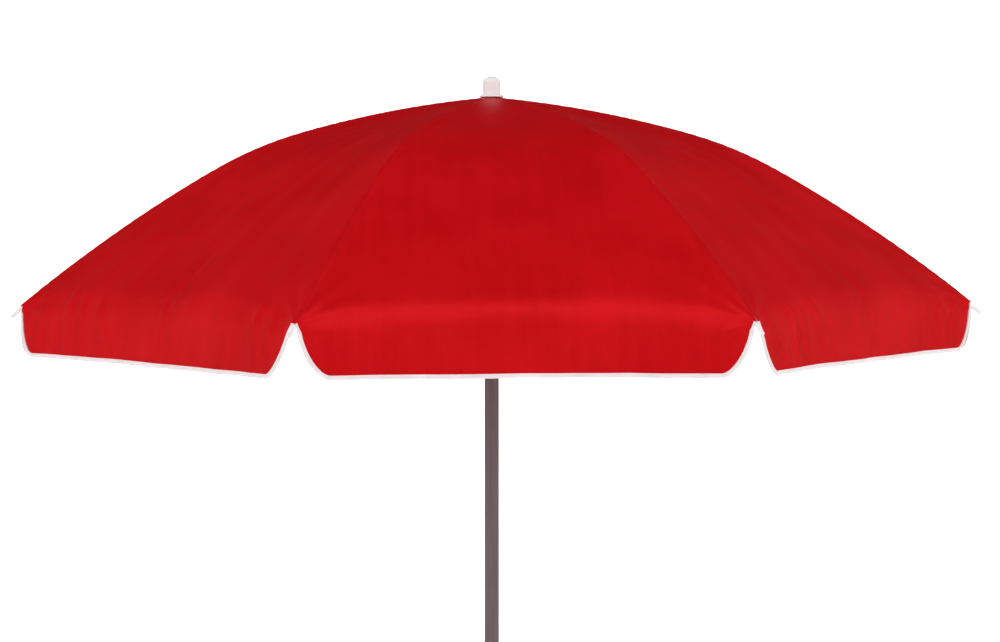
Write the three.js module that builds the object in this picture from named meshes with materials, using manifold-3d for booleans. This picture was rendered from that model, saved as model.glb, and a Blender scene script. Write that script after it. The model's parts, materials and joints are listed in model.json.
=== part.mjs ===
// Beach umbrella: an eight-rib canopy with a valance on a telescoping steel pole.
// Millimetres, +Z up, origin at the point of the ground spike, pole along Z.
import * as THREE from "three";
import { mergeVertices } from "three/addons/utils/BufferGeometryUtils.js";
import Module from "manifold-3d";

const wasm = await Module();
wasm.setup();

// ---- driving dimensions ----
const RIB_COUNT = 8;
const TIP_RADIUS = 810; // pole axis to the cloth's corner at a rib
const CROWN_Z = 2030; // height of the cloth at the pole, canopy open
const GAP = 0.3; // between pieces that touch

// slope of the rib from the level, in degrees: at the hub, its steady growth, and the bend over the stretcher
const HUB_SLOPE = 5.6;
const SLOPE_GROWTH = 24;
const BEND_SLOPE = 9;
const BEND_START = 0.4; // share of the tip radius
const BEND_LENGTH = 0.25;

const UPPER_POLE_R = 12.5;
const LOWER_POLE_R = 14;
const POLE_WALL = 1;
const UPPER_POLE_BOTTOM = 790;
const LOWER_POLE_TOP = 947;
const SPIKE_LENGTH = 110;

const CLOTH = 1; // thickness of the cloth solids
const CLOTH_INNER_R = 24; // where the gores start, at the rim of the hub
const FOLD_RISE_IN = 23; // how far the fold between roof and valance curves in at mid gore
const VALANCE_DEPTH = 93; // at mid gore; the hem is level
const NOTCH_DEPTH = 0.4; // depth left at the rib tip
const NOTCH_SHARE = 0.0155; // share of the half gore that the notch leaves free of the rib tip
const CORNER_SHARE = 0.165; // where the valance's slanted corner ends
const GORE_SAG = 10; // dip of the mid gore below a straight line from rib to rib

const RIB_R = 2;
const RIB_DROP = 4.6; // cloth to the centre line of the rib
const HUB_PIVOT_R = 18;
const HUB_PIVOT_DROP = 6;
const WIRE_R = 0.8; // hub ring and runner ring
const EYE_R = 2.8;
const EYE_HOLE_R = 1.1;
const EYE_WIDTH = 3.6;
const SLOT_WIDTH = 4.8;
const TAB_SHARE = 0.47; // where the stretcher's tab sits along the rib
const TAB_DROP = 7; // centre line of the rib to the rivet
const TAB_WIDTH = 2.2;
const RIVET_R = 1.2;
const STRETCHER_LENGTH = 430;
const RUNNER_PIVOT_R = 20;
const RUNNER_BELOW = 54; // runner pivot to its bottom end
const RUNNER_ABOVE = 6;
const RUNNER_FOOT = 4; // closed ring under the slot for the tooth
const TOOTH_REACH = 5; // how far the catch stands out of the pole
const TOOTH_WIDTH = 3.2;
const COLLAR_R = 20;
const COLLAR_BOTTOM = 885;
const COLLAR_TOP = 957;
const CLAMP_Z = 915;
const STUD_R = 3;

const HALF_GORE = Math.PI / RIB_COUNT;
const DEGREE = Math.PI / 180;
const HUB_RIM_R = CLOTH_INNER_R * Math.cos(HALF_GORE) - 0.4; // just inside the gores' straight inner edges

// ---- the curve of the canopy along a rib ----
function slopeAt(share) {
  const bend = THREE.MathUtils.smoothstep(share, BEND_START, BEND_START + BEND_LENGTH);
  return (HUB_SLOPE + SLOPE_GROWTH * share + BEND_SLOPE * bend) * DEGREE;
}

// height of the cloth over a rib, added up along the slope in small steps
function clothHeight(share) {
  const steps = 200;
  let drop = 0;
  for (let i = 0; i < steps; i++) drop += Math.tan(slopeAt((share * (i + 0.5)) / steps));
  return CROWN_Z - (drop / steps) * share * TIP_RADIUS;
}

// a point under the cloth at a rib, in the rib's own plane (x outward, z up)
function underCloth(share, depth) {
  const slope = slopeAt(share);
  const x = share * TIP_RADIUS - depth * Math.sin(slope);
  return new THREE.Vector3(x, 0, clothHeight(share) - depth * Math.cos(slope));
}

const hubPivot = new THREE.Vector3(
  HUB_PIVOT_R, 0, clothHeight(HUB_PIVOT_R / TIP_RADIUS) - HUB_PIVOT_DROP);
const rivet = underCloth(TAB_SHARE, RIB_DROP + TAB_DROP);
const runnerPivotZ = rivet.z - Math.sqrt(STRETCHER_LENGTH ** 2 - (rivet.x - RUNNER_PIVOT_R) ** 2);
const runnerPivot = new THREE.Vector3(RUNNER_PIVOT_R, 0, runnerPivotZ);
const catchTop = runnerPivotZ - RUNNER_BELOW - GAP;

// ---- materials ----
const finish = (color, roughness, metalness = 0) =>
  new THREE.MeshStandardMaterial({ color, roughness, metalness });
const redCloth = finish(0xc4141c, 0.5);
const whitePlastic = finish(0xe9e7e2, 0.35);
const blackPlastic = finish(0x1d1d1f, 0.45);
const taupePaint = finish(0x75696a, 0.4);
const brightSteel = finish(0xb9bcc0, 0.3, 1);

// ---- solids ----
function toSolid(geometry) {
  const bare = geometry.index ? geometry.toNonIndexed() : geometry.clone();
  bare.deleteAttribute("normal");
  bare.deleteAttribute("uv");
  const merged = mergeVertices(bare, 1e-4);
  const index = Array.from(merged.index.array);
  const triVerts = [];
  for (let i = 0; i < index.length; i += 3) {
    const [a, b, c] = index.slice(i, i + 3);
    if (a !== b && b !== c && c !== a) triVerts.push(a, b, c);
  }
  return new wasm.Manifold(new wasm.Mesh({
    numProp: 3,
    vertProperties: Float32Array.from(merged.attributes.position.array),
    triVerts: Uint32Array.from(triVerts),
  }));
}

function toGeometry(solid) {
  const mesh = solid.getMesh();
  const geometry = new THREE.BufferGeometry();
  geometry.setAttribute("position", new THREE.BufferAttribute(mesh.vertProperties, 3));
  geometry.setIndex(new THREE.BufferAttribute(mesh.triVerts, 1));
  return geometry;
}

const join = (first, ...others) =>
  toGeometry(others.reduce((solid, other) => solid.add(toSolid(other)), toSolid(first)));
const cut = (first, ...others) =>
  toGeometry(others.reduce((solid, other) => solid.subtract(toSolid(other)), toSolid(first)));

// a solid turned about Z from [radius, height] pairs, listed anticlockwise in the (radius, height) plane
function turned(profile, segments = 24) {
  const points = profile.map(([radius, height]) => new THREE.Vector2(radius, height));
  return new THREE.LatheGeometry(points, segments).rotateX(Math.PI / 2);
}

function tube(outer, inner, bottom, top, segments) {
  return turned([[inner, bottom], [outer, bottom], [outer, top], [inner, top], [inner, bottom]], segments);
}

function wireRing(radius, height) {
  const sides = 6;
  const profile = [];
  for (let i = 0; i <= sides; i++) {
    const angle = ((i % sides) / sides) * 2 * Math.PI;
    profile.push([radius + WIRE_R * Math.cos(angle), height + WIRE_R * Math.sin(angle)]);
  }
  return turned(profile, 32);
}

// a round bar lying along Y, for eyes, rivets and their holes
function crossBar(radius, width, centre, segments = 8) {
  return new THREE.CylinderGeometry(radius, radius, width, segments)
    .translate(centre.x, centre.y, centre.z);
}

// a round bar between two points
function barBetween(from, to, radius, segments = 8) {
  const along = to.clone().sub(from);
  const turn = new THREE.Quaternion().setFromUnitVectors(
    new THREE.Vector3(0, 1, 0), along.clone().normalize());
  const middle = from.clone().add(to).multiplyScalar(0.5);
  return new THREE.CylinderGeometry(radius, radius, along.length(), segments)
    .applyQuaternion(turn).translate(middle.x, middle.y, middle.z);
}

// a round bar lying along X, for the clamp screw and its holes
const radialBar = (radius, from, to, height, segments = 16) => barBetween(
  new THREE.Vector3(from, 0, height), new THREE.Vector3(to, 0, height), radius, segments);

// ---- hub and runner: a turned body with a slot for each eye and a groove for the wire ring ----
function slotted(body, pivotR, pivotZ, rootR, bottom, top) {
  const cutters = [];
  const outside = 12;
  for (let i = 0; i < RIB_COUNT; i++) {
    const slot = new THREE.BoxGeometry(outside, SLOT_WIDTH, top - bottom);
    slot.translate(rootR + outside / 2, 0, (bottom + top) / 2);
    cutters.push(slot.rotateZ((2 * i + 1) * HALF_GORE));
  }
  const clear = WIRE_R + GAP;
  cutters.push(tube(pivotR + outside, pivotR - clear, pivotZ - clear, pivotZ + clear, 32));
  return cut(body, ...cutters);
}

function topHub() {
  const top = CROWN_Z - 2.2;
  const bottom = CROWN_Z - 18;
  const body = tube(HUB_RIM_R, UPPER_POLE_R + 0.15, bottom, top, 32);
  return slotted(body, HUB_PIVOT_R, hubPivot.z, HUB_PIVOT_R - EYE_R - 0.4, bottom - 1, top + 1);
}

function runner() {
  const bore = UPPER_POLE_R + 0.4;
  const sleeve = 16;
  const flange = 25;
  const grip = 18.5;
  const top = runnerPivotZ + RUNNER_ABOVE;
  const shelf = runnerPivotZ - RUNNER_ABOVE;
  const bottom = runnerPivotZ - RUNNER_BELOW;
  const body = turned([
    [bore, bottom], [grip, bottom], [grip, bottom + 10], [sleeve, bottom + 13],
    [sleeve, shelf - 6], [flange, shelf], [flange, top], [bore, top], [bore, bottom],
  ], 32);
  const slotFrom = bottom + RUNNER_FOOT; // the catch's tooth stands in this slot once the foot is past it
  const toothSlot = new THREE.BoxGeometry(TOOTH_WIDTH + 1.6, RUNNER_PIVOT_R, top + 1 - slotFrom)
    .translate(0, RUNNER_PIVOT_R / 2 + 9, (top + 1 + slotFrom) / 2);
  const slit = cut(body, toothSlot);
  return slotted(slit, RUNNER_PIVOT_R, runnerPivotZ, RUNNER_PIVOT_R - EYE_R - 0.5, shelf - 3, top + 1);
}

// ---- one rib, in the plane y = 0 ----
function rib() {
  const start = 19.9 / TIP_RADIUS;
  const steps = 13;
  const points = [];
  for (let i = 0; i <= steps; i++) points.push(underCloth(start + ((1 - start) * i) / steps, RIB_DROP));
  const section = new THREE.Shape().absarc(0, 0, RIB_R, 0, 2 * Math.PI);
  const rod = new THREE.ExtrudeGeometry(section, {
    curveSegments: 3, steps: steps, extrudePath: new THREE.CatmullRomCurve3(points), bevelEnabled: false,
  });
  const eye = crossBar(EYE_R, EYE_WIDTH, hubPivot);
  const tabTop = underCloth(TAB_SHARE, RIB_DROP);
  const tab = new THREE.BoxGeometry(6, TAB_WIDTH, TAB_DROP);
  const middle = tabTop.clone().add(rivet).multiplyScalar(0.5);
  tab.rotateY(slopeAt(TAB_SHARE)).translate(middle.x, 0, middle.z);
  const tabEnd = crossBar(3, TAB_WIDTH, rivet);
  const whole = join(rod, eye, tab, tabEnd);
  const room = 20;
  return cut(whole, crossBar(EYE_HOLE_R, room, hubPivot), crossBar(RIVET_R + GAP, room, rivet));
}

// ---- the sleeve on the rib's end: a blind bore, and a round nose past the cloth's corner ----
function ribTip() {
  const outer = 3;
  const bore = RIB_R + 0.5;
  const behind = 14;
  const ahead = 22;
  const nose = 2.4;
  const sleeve = turned([
    [bore, -behind], [outer, -behind], [outer, ahead - nose], [outer * 0.75, ahead - 0.7],
    [0, ahead], [0, 1], [bore, 1], [bore, -behind],
  ], 8);
  const end = underCloth(1, RIB_DROP);
  return sleeve.rotateY(Math.PI / 2 + slopeAt(1)).translate(end.x, 0, end.z);
}

// ---- one stretcher: a rod with an eye at the runner, and a fork with its rivet at the rib ----
function stretcher() {
  const toRunner = runnerPivot.clone().sub(rivet).normalize();
  const at = (distance) => rivet.clone().addScaledVector(toRunner, distance);
  const cheek = 1.2;
  const cheekMiddle = TAB_WIDTH / 2 + GAP + cheek / 2;
  const forkRoot = 7;
  const forkEnd = 13;
  const width = 2 * cheekMiddle + cheek;
  const pitch = Math.atan2(-toRunner.z, toRunner.x);
  const plate = (length, thickness, height, centre, side) => new THREE.BoxGeometry(length, thickness, height)
    .rotateY(pitch).translate(centre.x, side, centre.z);
  const pieces = [plate(forkEnd - forkRoot, width, 5, at((forkRoot + forkEnd) / 2), 0)];
  for (const side of [-cheekMiddle, cheekMiddle]) {
    pieces.push(plate(forkRoot + 1, cheek, 5, at((forkRoot + 1) / 2), side));
    pieces.push(crossBar(3, cheek, rivet.clone().setY(side)));
  }
  pieces.push(crossBar(RIVET_R, width + 1.2, rivet));
  pieces.push(crossBar(EYE_R, EYE_WIDTH, runnerPivot));
  const rod = barBetween(at(forkEnd - 1), at(STRETCHER_LENGTH - EYE_HOLE_R - 0.8), RIB_R);
  return cut(join(rod, ...pieces), crossBar(EYE_HOLE_R, 20, runnerPivot));
}

// ---- half a gore with its half of the valance, between the rib (y = 0) and mid gore ----
// A closed sheet: a grid of outer points, a grid of inner points and a rim. Both grids are split along the
// same diagonals, so the sheet is equally thick all over, and the two sides are mirror images.
function closedSheet(columns, rows, mirrored, pointAt) {
  const vertices = [];
  const faces = [];
  const quad = (a, b, c, d) => (mirrored ? faces.push(b, c, d, b, d, a) : faces.push(a, b, c, a, c, d));
  const at = (column, row, inner) => 2 * (row * (columns + 1) + column) + inner;
  for (let row = 0; row <= rows; row++) {
    for (let column = 0; column <= columns; column++) {
      for (const inner of [0, 1]) vertices.push(...pointAt(column / columns, row, inner).toArray());
    }
  }
  for (let row = 0; row < rows; row++) {
    for (let column = 0; column < columns; column++) {
      const corners = [[column, row], [column + 1, row], [column + 1, row + 1], [column, row + 1]];
      const [a, b, c, d] = corners.map(([i, j]) => at(i, j, 0));
      quad(a, b, c, d);
      if (mirrored) faces.push(b + 1, d + 1, c + 1, b + 1, a + 1, d + 1);
      else faces.push(a + 1, c + 1, b + 1, a + 1, d + 1, c + 1);
    }
  }
  for (let column = 0; column < columns; column++) {
    quad(at(column, 0, 0), at(column, 0, 1), at(column + 1, 0, 1), at(column + 1, 0, 0));
    quad(at(column, rows, 1), at(column, rows, 0), at(column + 1, rows, 0), at(column + 1, rows, 1));
  }
  for (let row = 0; row < rows; row++) {
    quad(at(0, row, 1), at(0, row, 0), at(0, row + 1, 0), at(0, row + 1, 1));
    quad(at(columns, row, 0), at(columns, row, 1), at(columns, row + 1, 1), at(columns, row + 1, 0));
  }
  const geometry = new THREE.BufferGeometry();
  geometry.setAttribute("position", new THREE.Float32BufferAttribute(vertices, 3));
  geometry.setIndex(faces);
  return geometry;
}

function halfGore(side) {
  const columns = 4;
  const roofRows = 12;
  const valanceRows = 2;
  const seamGap = 0.2;
  const innerShare = CLOTH_INNER_R / TIP_RADIUS;
  const outward = new THREE.Vector3(Math.cos(HALF_GORE), Math.sin(HALF_GORE), 0);

  // on a straight line between two ribs, with the sag of the stretched cloth
  function roofPoint(across, share) {
    const width = share * TIP_RADIUS * Math.sin(HALF_GORE);
    const along = seamGap + across * (width - 2 * seamGap);
    const dip = GORE_SAG * Math.sin(Math.PI * share) * across * (2 - across);
    return new THREE.Vector3(
      share * TIP_RADIUS - along * Math.sin(HALF_GORE), along * Math.cos(HALF_GORE), clothHeight(share) - dip);
  }

  const hemHeight = roofPoint(1, 1 - FOLD_RISE_IN / TIP_RADIUS).z - VALANCE_DEPTH;
  return closedSheet(columns, roofRows + valanceRows, side > 0, (column, row, inner) => {
    const fromRib = side > 0 ? 1 - column : column; // keeps the faces pointing out
    const across = fromRib ** 3; // columns close together at the notch
    const foldShare = 1 - (FOLD_RISE_IN / TIP_RADIUS) * across * (2 - across);
    const share = innerShare + (foldShare - innerShare) * Math.min(1, row / roofRows);
    const point = roofPoint(across, share);
    const slope = slopeAt(share);
    const roofNormal = outward.clone().multiplyScalar(Math.sin(slope)).setZ(Math.cos(slope));
    const corner = THREE.MathUtils.clamp((across - NOTCH_SHARE) / (CORNER_SHARE - NOTCH_SHARE), 0, 1);
    const level = roofPoint(across, foldShare).z - hemHeight;
    const depth = NOTCH_DEPTH + (level - NOTCH_DEPTH) * Math.sin((corner * Math.PI) / 2);
    const down = Math.max(0, row - roofRows) / valanceRows;
    point.z -= depth * down;
    const normal = down > 0 ? outward.clone() : roofNormal;
    if (row === roofRows) normal.add(outward).normalize();
    point.addScaledVector(normal, -inner * CLOTH);
    point.y = side * Math.max(point.y, seamGap * Math.cos(HALF_GORE));
    return point;
  });
}

// ---- pieces on the pole's axis ----
function upperPole() {
  const top = CROWN_Z - 2.6;
  const pole = tube(UPPER_POLE_R, UPPER_POLE_R - POLE_WALL, UPPER_POLE_BOTTOM, top, 24);
  const slot = new THREE.BoxGeometry(4.2, 6, 26).translate(0, UPPER_POLE_R, catchTop - 9);
  return cut(pole, slot);
}

function polePlug() {
  const plugR = UPPER_POLE_R - POLE_WALL - GAP;
  const rimR = LOWER_POLE_R - POLE_WALL - GAP;
  const rimTop = UPPER_POLE_BOTTOM - GAP;
  return turned([[0, rimTop - 6], [rimR - 1, rimTop - 6], [rimR, rimTop - 5], [rimR, rimTop],
    [plugR, rimTop], [plugR, rimTop + 18], [0, rimTop + 18]]);
}

function finial() {
  const base = CROWN_Z - 0.6;
  const flangeR = 21;
  const bodyR = 15;
  const plugR = UPPER_POLE_R - POLE_WALL - GAP;
  return turned([[0, base - 22], [plugR, base - 22], [plugR, base], [flangeR, base],
    [flangeR, base + 3], [flangeR - 1, base + 4.5], [bodyR, base + 5.5], [bodyR, base + 22],
    [bodyR * 0.93, base + 27], [bodyR * 0.75, base + 31.5], [bodyR * 0.42, base + 34.8], [0, base + 36]]);
}

// a tooth with a flat top that carries the runner, on a leaf inside the pole
function catchTooth() {
  const outline = new THREE.Shape([
    [4, 0], [UPPER_POLE_R + TOOTH_REACH, 0], [UPPER_POLE_R + TOOTH_REACH, -3], [UPPER_POLE_R - 0.5, -16],
    [8, -18], [5.5, -44], [4, -44],
  ].map(([radius, height]) => new THREE.Vector2(radius, height)));
  const tooth = new THREE.ExtrudeGeometry(outline, { depth: TOOTH_WIDTH, bevelEnabled: false });
  return tooth.translate(0, 0, -TOOTH_WIDTH / 2).rotateX(Math.PI / 2).rotateZ(Math.PI / 2)
    .translate(0, 0, catchTop);
}

function groundSpike() {
  const plugR = LOWER_POLE_R - POLE_WALL - GAP;
  return turned([[0, 0], [2, 0], [LOWER_POLE_R, SPIKE_LENGTH - 12], [LOWER_POLE_R, SPIKE_LENGTH - GAP],
    [plugR, SPIKE_LENGTH - GAP], [plugR, SPIKE_LENGTH + 45], [plugR - 2, SPIKE_LENGTH + 48],
    [0, SPIKE_LENGTH + 48]]);
}

function lowerPole() {
  const pole = tube(LOWER_POLE_R, LOWER_POLE_R - POLE_WALL, SPIKE_LENGTH, LOWER_POLE_TOP, 24);
  return cut(pole, radialBar(STUD_R + 0.6, 8, 18, CLAMP_Z));
}

// ---- height clamp: collar, captive nut, stud and knob ----
const NUT_FROM = LOWER_POLE_R + GAP;
const NUT_TO = NUT_FROM + 5.5;
const BOSS_END = 29;

const hexagon = (acrossFlats, from, to) => new THREE.CylinderGeometry(
  acrossFlats / Math.sqrt(3), acrossFlats / Math.sqrt(3), to - from, 6)
  .rotateZ(Math.PI / 2).translate((from + to) / 2, 0, CLAMP_Z);

function poleCollar() {
  const body = join(
    turned([[0, COLLAR_BOTTOM], [COLLAR_R - 2, COLLAR_BOTTOM], [COLLAR_R, COLLAR_BOTTOM + 3],
      [COLLAR_R, COLLAR_TOP - 5], [COLLAR_R - 4, COLLAR_TOP], [0, COLLAR_TOP]], 32),
    radialBar(10, 6, BOSS_END, CLAMP_Z, 20));
  const bore = turned([[0, COLLAR_BOTTOM - 1], [LOWER_POLE_R + 0.15, COLLAR_BOTTOM - 1],
    [LOWER_POLE_R + 0.15, LOWER_POLE_TOP + GAP], [UPPER_POLE_R + 0.3, LOWER_POLE_TOP + GAP],
    [UPPER_POLE_R + 0.3, COLLAR_TOP + 1], [0, COLLAR_TOP + 1]], 32);
  return cut(body, bore, hexagon(10.6, 10, NUT_TO + GAP), radialBar(STUD_R + 0.6, 10, BOSS_END + 1, CLAMP_Z));
}

const clampNut = () => cut(hexagon(10, NUT_FROM, NUT_TO), radialBar(STUD_R + GAP, 10, 30, CLAMP_Z));

const clampStud = () => radialBar(STUD_R, UPPER_POLE_R + GAP, BOSS_END + 11, CLAMP_Z);

// five round lobes about the screw's axis
function clampKnob() {
  const lobes = 5;
  const outline = new THREE.Shape();
  const points = 40;
  for (let i = 0; i < points; i++) {
    const angle = (i / points) * 2 * Math.PI;
    const radius = 19 + 3 * Math.cos(lobes * angle);
    if (i === 0) outline.moveTo(radius, 0);
    else outline.lineTo(radius * Math.cos(angle), radius * Math.sin(angle));
  }
  outline.closePath();
  const from = BOSS_END + 1.5;
  const grip = new THREE.ExtrudeGeometry(outline, { depth: 14, bevelEnabled: false })
    .rotateY(Math.PI / 2).translate(from, 0, CLAMP_Z);
  return cut(grip, radialBar(STUD_R + GAP, from - 1, BOSS_END + 11 + GAP, CLAMP_Z));
}

// ---- assembly ----
const umbrella = new THREE.Group();

function addPiece(parent, name, geometry, material) {
  const mesh = new THREE.Mesh(geometry, material);
  mesh.name = name;
  parent.add(mesh);
}

addPiece(umbrella, "ground_spike", groundSpike(), blackPlastic);
addPiece(umbrella, "lower_pole", lowerPole(), taupePaint);
addPiece(umbrella, "pole_collar", poleCollar(), blackPlastic);
addPiece(umbrella, "clamp_nut", clampNut(), brightSteel);
addPiece(umbrella, "clamp_stud", clampStud(), brightSteel);
addPiece(umbrella, "clamp_knob", clampKnob(), blackPlastic);

addPiece(umbrella, "upper_pole", upperPole(), taupePaint);
addPiece(umbrella, "pole_plug", polePlug(), blackPlastic);
addPiece(umbrella, "top_hub", topHub(), whitePlastic);
addPiece(umbrella, "hub_ring", wireRing(HUB_PIVOT_R, hubPivot.z), brightSteel);
addPiece(umbrella, "crown_patch",
  tube(HUB_RIM_R, UPPER_POLE_R - POLE_WALL, CROWN_Z - 1.9, CROWN_Z - 0.9, 24), redCloth);
addPiece(umbrella, "finial", finial(), whitePlastic);
addPiece(umbrella, "catch", catchTooth(), brightSteel);

addPiece(umbrella, "runner", runner(), whitePlastic);
addPiece(umbrella, "runner_ring", wireRing(RUNNER_PIVOT_R, runnerPivotZ), brightSteel);

for (let i = 0; i < RIB_COUNT; i++) {
  const arm = new THREE.Group();
  arm.rotation.z = (2 * i + 1) * HALF_GORE;
  umbrella.add(arm);
  const number = i + 1;
  addPiece(arm, `rib_${number}`, rib(), brightSteel);
  addPiece(arm, `rib_tip_${number}`, ribTip(), whitePlastic);
  addPiece(arm, `stretcher_${number}`, stretcher(), brightSteel);
  addPiece(arm, `gore_${number}_left`, halfGore(1), redCloth);
  addPiece(arm, `gore_${number}_right`, halfGore(-1), redCloth);
}

export default umbrella;
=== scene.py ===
# %% [markdown]
# # Beach umbrella
# The lesson builds the finished look of a folding beach umbrella round a working CAD frame. The frame
# already holds every solid, joint and measure, so each step below asks it where things are, makes the fine
# surface there, and says which moving body the new piece rides on.

# %% Load the frame
import json
import math
import bmesh
import bpy
import numpy as np
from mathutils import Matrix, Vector


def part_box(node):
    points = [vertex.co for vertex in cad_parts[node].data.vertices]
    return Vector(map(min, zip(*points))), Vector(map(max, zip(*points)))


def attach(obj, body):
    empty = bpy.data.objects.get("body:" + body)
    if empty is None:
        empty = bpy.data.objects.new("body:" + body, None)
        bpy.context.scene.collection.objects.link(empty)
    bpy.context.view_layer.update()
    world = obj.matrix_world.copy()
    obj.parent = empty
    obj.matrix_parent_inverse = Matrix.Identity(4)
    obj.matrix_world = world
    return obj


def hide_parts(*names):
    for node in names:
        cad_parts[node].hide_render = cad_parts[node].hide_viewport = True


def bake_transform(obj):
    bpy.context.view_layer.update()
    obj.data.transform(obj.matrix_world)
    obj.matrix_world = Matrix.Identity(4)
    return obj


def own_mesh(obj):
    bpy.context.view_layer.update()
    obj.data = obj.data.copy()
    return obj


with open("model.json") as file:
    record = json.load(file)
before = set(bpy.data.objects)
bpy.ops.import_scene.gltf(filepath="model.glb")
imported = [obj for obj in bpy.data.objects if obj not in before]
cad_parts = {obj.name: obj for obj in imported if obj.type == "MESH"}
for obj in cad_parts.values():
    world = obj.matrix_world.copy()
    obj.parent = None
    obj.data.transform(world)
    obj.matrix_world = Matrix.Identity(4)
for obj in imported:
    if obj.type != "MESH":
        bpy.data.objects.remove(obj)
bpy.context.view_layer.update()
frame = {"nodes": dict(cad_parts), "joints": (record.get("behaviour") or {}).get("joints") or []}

JOINTS = {joint["name"]: joint for joint in frame["joints"]}

# %% [markdown]
# The canopy is driven by a few sizes. Those that a CAD piece shows are read from its box or from its joint.
# The curve of the ribs is a rule about slope: almost level at the hub, steeper all the way out, with one
# extra bend where the stretchers push the ribs up.

# %% Driving sizes, in metres
RIB_COUNT = 8
HALF_GORE = math.pi / RIB_COUNT
MM = 0.001
TIP_RADIUS = 0.810
HUB_RIM = float(np.hypot(*JOINTS["gore_1_left_pleat"]["pos_m"][:2]))
CROWN_Z = float(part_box("crown_patch")[1].z) + 0.9 * MM
FOLD_RISE_IN = 23 * MM
VALANCE_DEPTH = 93 * MM
NOTCH_DEPTH = 0.4 * MM
NOTCH_SHARE = 0.0105
CORNER_SHARE = 0.150
GORE_SAG = 10 * MM
RIB_RADIUS = 2 * MM
RIB_DROP = 4.6 * MM
POLE_RADIUS = float(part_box("upper_pole")[1].x)
print("hub rim", round(HUB_RIM, 4), "crown", round(CROWN_Z, 4), "pole radius", round(POLE_RADIUS, 4))


# %% The curve of a rib
def rib_slope(share):
    """Slope from the level in radians: 5.6 degrees, plus 24 per unit of share, plus a 9 degree bend eased in
    between 0.4 and 0.65 of the tip radius."""
    bend = np.clip((share - 0.4) / 0.25, 0, 1)
    return np.radians(5.6 + 24 * share + 9 * bend * bend * (3 - 2 * bend))


SHARE_STEPS = np.linspace(0, 1, 2001)
SLOPE_SUM = np.concatenate([[0], np.cumsum(np.tan(rib_slope((SHARE_STEPS[1:] + SHARE_STEPS[:-1]) / 2)))])


def cloth_height(share):
    """Height of the cloth over a rib: the crown's height less the sum of the slopes' tangents so far."""
    return CROWN_Z - TIP_RADIUS * np.interp(share, SHARE_STEPS, SLOPE_SUM) / (len(SHARE_STEPS) - 1)


def under_cloth(share, depth):
    """Point at a depth under the cloth at a rib, in the rib's own plane: x outward, y across, z up."""
    share = np.asarray(share, float)
    slope = rib_slope(share)
    x = share * TIP_RADIUS - depth * np.sin(slope)
    return np.stack([x, 0 * share, cloth_height(share) - depth * np.cos(slope)], -1)


def to_rib(points, number):
    """Points of the rib's own frame turned about the pole to rib 1 to 8."""
    angle = (2 * number - 1) * HALF_GORE
    cos, sin = math.cos(angle), math.sin(angle)
    return np.asarray(points) @ np.array([[cos, sin, 0], [-sin, cos, 0], [0, 0, 1]])


print("rib tip height", round(float(cloth_height(1.0)), 4))

# %% [markdown]
# Every new piece is one or more surfaces on a grid. The helper joins the grids to one mesh, closes what
# should be closed, turns the faces outwards and marks the sharp edges, so that a smooth surface still has a
# crisp rim.


# %% Grids into meshes
def surface(points, wrap=False, loop=False, caps=False, flip=False, uv=None):
    """One grid of points: wrap joins its last column to its first, loop its last row to its first, caps close
    the two ends, flip turns the faces over."""
    return dict(points=np.asarray(points, float), wrap=wrap, loop=loop, caps=caps, flip=flip, uv=uv)


def grid_faces(part, first):
    """Four corners for each cell between neighbouring rows and columns, and one face on each capped end."""
    rows, columns = part["points"].shape[:2]
    row = np.arange(rows if part["loop"] else rows - 1)[:, None]
    column = np.arange(columns if part["wrap"] else columns - 1)[None, :]
    below, beside = (row + 1) % rows, (column + 1) % columns
    here, under = row * columns, below * columns
    corners = np.broadcast_arrays(here + column, here + beside, under + beside, under + column)
    faces = np.stack(corners, -1).reshape(-1, 4)
    faces = (faces[:, ::-1] if part["flip"] else faces) + first
    faces = faces.tolist()
    if part["caps"]:
        last = first + (rows - 1) * columns
        start, end = list(range(first, first + columns)), list(range(last, last + columns))
        faces += [start, end[::-1]] if part["flip"] else [start[::-1], end]
    return faces


def make_mesh(name, parts, sharp=40):
    """An object from a list of surfaces; open edges, and edges that turn by more than the sharp angle, stay
    crisp."""
    vertices, faces, first = [], [], 0
    for part in parts:
        faces += grid_faces(part, first)
        vertices.append(part["points"].reshape(-1, 3))
        first += len(vertices[-1])
    mesh = bpy.data.meshes.new(name)
    mesh.from_pydata(np.concatenate(vertices).tolist(), [], faces)
    mesh.update()
    if parts[0]["uv"] is not None:
        layer = mesh.uv_layers.new(name="cut")
        flat = np.concatenate([part["uv"].reshape(-1, 2) for part in parts])
        corner = np.zeros(len(mesh.loops), int)
        mesh.loops.foreach_get("vertex_index", corner)
        layer.data.foreach_set("uv", flat[corner].astype(np.float32).ravel())
    mesh.polygons.foreach_set("use_smooth", np.ones(len(mesh.polygons), bool))
    mesh.set_sharp_from_angle(angle=math.radians(sharp))
    edge_of_loop, crisp = np.zeros(len(mesh.loops), int), np.zeros(len(mesh.edges), bool)
    mesh.loops.foreach_get("edge_index", edge_of_loop)
    mesh.edges.foreach_get("use_edge_sharp", crisp)
    crisp |= np.bincount(edge_of_loop, minlength=len(crisp)) == 1
    mesh.edges.foreach_set("use_edge_sharp", crisp)
    piece = bpy.data.objects.new(name, mesh)
    bpy.context.scene.collection.objects.link(piece)
    return piece


def close_up(piece, sharp=40):
    """Merges points that lie together, as at a pole, and turns every face of the closed piece outwards."""
    work = bmesh.new()
    work.from_mesh(piece.data)
    bmesh.ops.remove_doubles(work, verts=work.verts, dist=1e-6)
    bmesh.ops.recalc_face_normals(work, faces=work.faces)
    work.to_mesh(piece.data)
    work.free()
    piece.data.set_sharp_from_angle(angle=math.radians(sharp))
    return piece


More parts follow.
